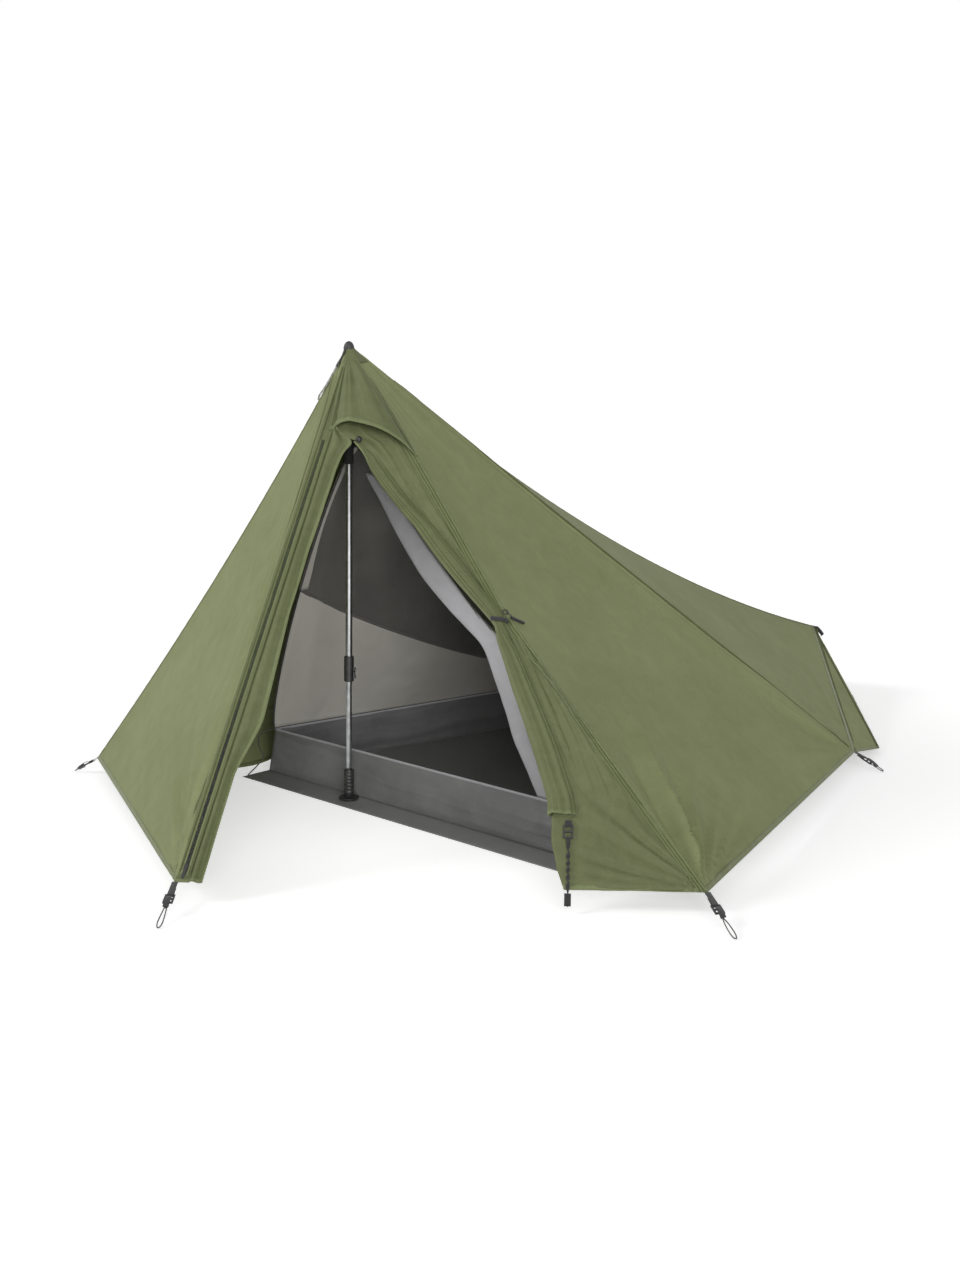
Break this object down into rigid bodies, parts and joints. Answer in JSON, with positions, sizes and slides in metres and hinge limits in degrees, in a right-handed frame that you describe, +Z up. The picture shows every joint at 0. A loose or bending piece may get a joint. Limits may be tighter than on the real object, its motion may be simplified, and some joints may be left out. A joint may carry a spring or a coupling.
{
  "type": "trekking pole tent",
  "caption": "Single-pole shelter pitched on a trekking pole: green flysheet with the door tied back, mesh inner tent, tub groundsheet and adjustable stake-outs.",
  "frame": {"origin": "on the groundsheet's underside, at the middle of the stitch line of its front hem", "axes": "+Z up, +Y from the door to the foot end, +X to the right for someone looking in through the door"},
  "size_m": [2.3397, 3.3281, 1.362],
  "materials": {
    "fly_cloth": "satin, coated ripstop",
    "flap_cloth": "satin, coated ripstop",
    "inner_cloth": "matt",
    "inner_mesh": "matt net",
    "tub_cloth": "satin, coated",
    "floor_cloth": "satin, coated",
    "binding": "matt",
    "black_plastic": "matt",
    "black_webbing": "woven",
    "elastic": "braided",
    "grip_foam": "matt foam",
    "pole_metal": "satin anodised",
    "steel": "satin",
    "reflective_cord": "braided, reflective"
  },
  "bodies": {
    "tent": {"apex_cap": "black_plastic", "apex_guy_strap": "black_webbing", "apex_guyline": "reflective_cord", "door_corner_strap": "black_webbing", "door_peak_ball": "black_plastic", "door_strap": "black_webbing", "door_zip_tape": "black_webbing", "fly_door_gather": "flap_cloth", "fly_door_panel": "fly_cloth", "fly_foot_panel": "fly_cloth", "fly_front_left_panel": "fly_cloth", "fly_left_panel": "fly_cloth", "fly_right_foot_gusset": "fly_cloth", "fly_right_panel": "fly_cloth", "fly_zip_flap": "flap_cloth", "foot_peak_tab": "black_webbing", "foot_pole": "pole_metal", "inner_door_binding": "binding", "inner_foot_wall": "inner_cloth", "inner_left_mesh": "inner_mesh", "inner_left_wall": "inner_cloth", "inner_mesh_door": "inner_mesh", "inner_right_wall": "inner_cloth", "left_side_strap": "black_webbing", "left_wing_strap": "black_webbing", "pole_cup": "black_webbing", "pole_grip": "grip_foam", "pole_lever_pin": "steel", "pole_lock_clamp": "black_plastic", "pole_upper_tube": "pole_metal", "right_side_strap": "black_webbing", "right_wing_strap": "black_webbing", "tie_back_strap": "black_webbing", "tub_corner_elastic": "elastic", "tub_floor": "floor_cloth", "tub_foot_wall": "tub_cloth", "tub_front_wall": "tub_cloth", "tub_left_wall": "tub_cloth", "tub_right_wall": "tub_cloth", "vent_hood": "flap_cloth"},
    "lower_pole": {"pole_lower_tube": "pole_metal", "pole_tip_sleeve": "black_plastic", "pole_basket": "black_plastic", "pole_tip": "steel"},
    "lock_lever": {"pole_lock_lever": "black_plastic"},
    "zip_slider": {"door_zip_slider": "black_plastic"},
    "zip_pull": {"door_zip_pull": "steel"},
    "left_wing_lock": {"left_wing_ladder_lock": "black_plastic", "left_wing_stake_loop": "reflective_cord"},
    "door_lock": {"door_ladder_lock": "black_plastic", "door_stake_loop": "reflective_cord"},
    "right_wing_lock": {"right_wing_ladder_lock": "black_plastic", "right_wing_stake_loop": "reflective_cord"},
    "right_side_lock": {"right_side_ladder_lock": "black_plastic", "right_side_stake_loop": "reflective_cord"},
    "left_side_lock": {"left_side_ladder_lock": "black_plastic", "left_side_stake_loop": "reflective_cord"},
    "door_corner": {"door_corner_lock": "black_plastic", "door_corner_tail": "black_webbing"},
    "toggle": {"tie_back_toggle": "black_plastic"}
  },
  "joints": [
    {"name": "pole_length", "type": "slide", "parent": "tent", "child": "lower_pole", "axis": [0, 0, 1], "range_m": [0, 0.25]},
    {"name": "lever_swing", "type": "hinge", "parent": "tent", "child": "lock_lever", "pos_m": [-0.28763, 0.06174, 0.377], "axis": [0, 0, 1], "range_deg": [0, 120]},
    {"name": "zip_run", "type": "slide", "parent": "tent", "child": "zip_slider", "axis": [-0.2117, 0.5479, 0.8093], "range_m": [0, 1.2]},
    {"name": "pull_swing", "type": "hinge", "parent": "zip_slider", "child": "zip_pull", "pos_m": [0.04885, -0.80431, 0.08406], "axis": [-0.8195, -0.5507, 0.1584], "range_deg": [0, 150]},
    {"name": "left_wing_swing", "type": "hinge", "parent": "tent", "child": "left_wing_lock", "pos_m": [-1.10375, -0.31214, 0.0362], "axis": [-0.4226, 0.9063, 0], "range_deg": [0, 70]},
    {"name": "door_swing", "type": "hinge", "parent": "tent", "child": "door_lock", "pos_m": [0.07543, -0.87075, 0.0362], "axis": [-0.7547, -0.6561, 0], "range_deg": [0, 70]},
    {"name": "right_wing_swing", "type": "hinge", "parent": "tent", "child": "right_wing_lock", "pos_m": [1.07629, -0.02141, 0.0362], "axis": [-0.5446, -0.8387, 0], "range_deg": [0, 70]},
    {"name": "right_side_swing", "type": "hinge", "parent": "tent", "child": "right_side_lock", "pos_m": [0.62822, 1.39997, 0.0362], "axis": [0.1392, -0.9903, 0], "range_deg": [0, 70]},
    {"name": "left_side_swing", "type": "hinge", "parent": "tent", "child": "left_side_lock", "pos_m": [-0.68822, 1.50397, 0.0362], "axis": [0.1392, 0.9903, 0], "range_deg": [0, 70]},
    {"name": "door_corner_swing", "type": "hinge", "parent": "tent", "child": "door_corner", "pos_m": [0.72172, -0.14393, 0.18], "axis": [-0.7677, -0.6408, 0.0093], "range_deg": [0, 60]},
    {"name": "toggle_swing", "type": "hinge", "parent": "tent", "child": "toggle", "pos_m": [0.39993, 0.00639, 0.63214], "axis": [0.6692, 0.1665, 0.7242], "range_deg": [-20, 20]}
  ]
}
